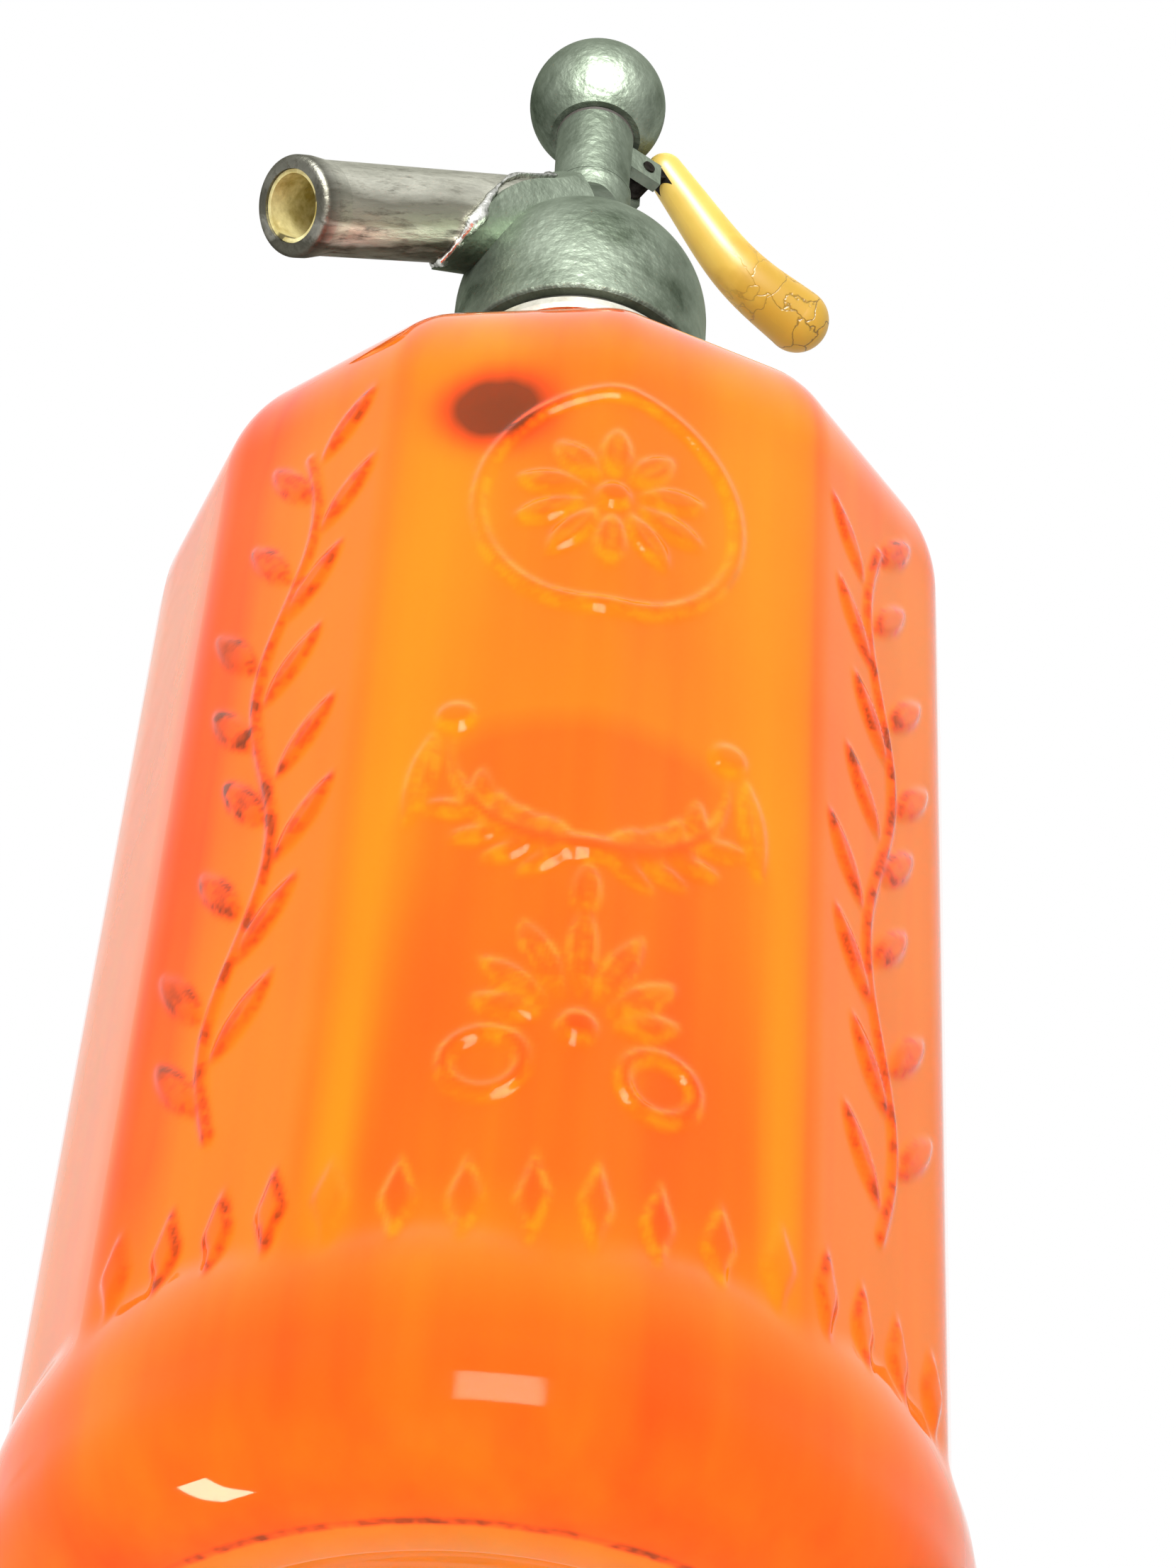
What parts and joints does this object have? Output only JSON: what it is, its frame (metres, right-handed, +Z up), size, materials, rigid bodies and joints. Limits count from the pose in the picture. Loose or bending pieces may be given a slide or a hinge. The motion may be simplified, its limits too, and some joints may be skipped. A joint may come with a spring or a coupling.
{
  "type": "soda siphon",
  "caption": "Twelve-sided glass soda siphon bottle with a turned pewter head, slanting spout, ball cap and a side lever that lifts a sprung valve.",
  "frame": {"origin": "centre of the flat ring that the bottle stands on", "axes": "+Z up along the axis of bottle and head; the spout leaves towards -X and the lever towards +X"},
  "size_m": [0.1104, 0.1104, 0.3059],
  "materials": {
    "orange_glass": "pressed, polished",
    "clear_glass": "drawn tube",
    "pewter": "cast and turned, worn",
    "dark_pewter": "cast, tarnished",
    "tinned_brass": "turned and tinned",
    "brass": "turned",
    "spring_bronze": "drawn wire",
    "dark_iron": "forged, oiled",
    "rubber": "moulded",
    "leather": "cut washer",
    "ivory_plastic": "moulded, aged"
  },
  "bodies": {
    "bottle": {"glass_bottle": "orange_glass", "neck_gasket": "rubber", "lock_ring": "tinned_brass", "clamp_half_left": "brass", "clamp_half_right": "brass", "head_body": "pewter", "spout_tube": "dark_pewter", "spout_liner": "brass", "valve_column": "pewter", "cap_gasket": "leather", "ball_cap": "pewter", "valve_seat": "brass", "packing_ring": "leather", "packing_nut": "brass", "return_spring": "spring_bronze", "dip_tube": "clear_glass", "tube_gasket": "rubber", "tube_ferrule": "brass", "lever_pin": "dark_iron"},
    "lever": {"lever_arm": "dark_iron", "lever_grip": "ivory_plastic"},
    "valve": {"valve_piston": "brass", "valve_disc": "rubber", "disc_screw": "brass", "spring_plate": "brass"}
  },
  "joints": [
    {"name": "lever_press", "type": "hinge", "parent": "bottle", "child": "lever", "pos_m": [0.008, 0, 0.2825], "axis": [0, 1, 0], "range_deg": [0, 12], "stiffness_Nm_per_rad": 0.1, "springref_deg": -17.19},
    {"name": "valve_lift", "type": "slide", "parent": "bottle", "child": "valve", "axis": [0, 0, 1], "range_m": [0, 0.00135], "deforming": ["return_spring"]}
  ],
  "couplings": [
    {"joint": "valve_lift", "follows": "lever_press", "m_per_rad": 0.0064}
  ]
}
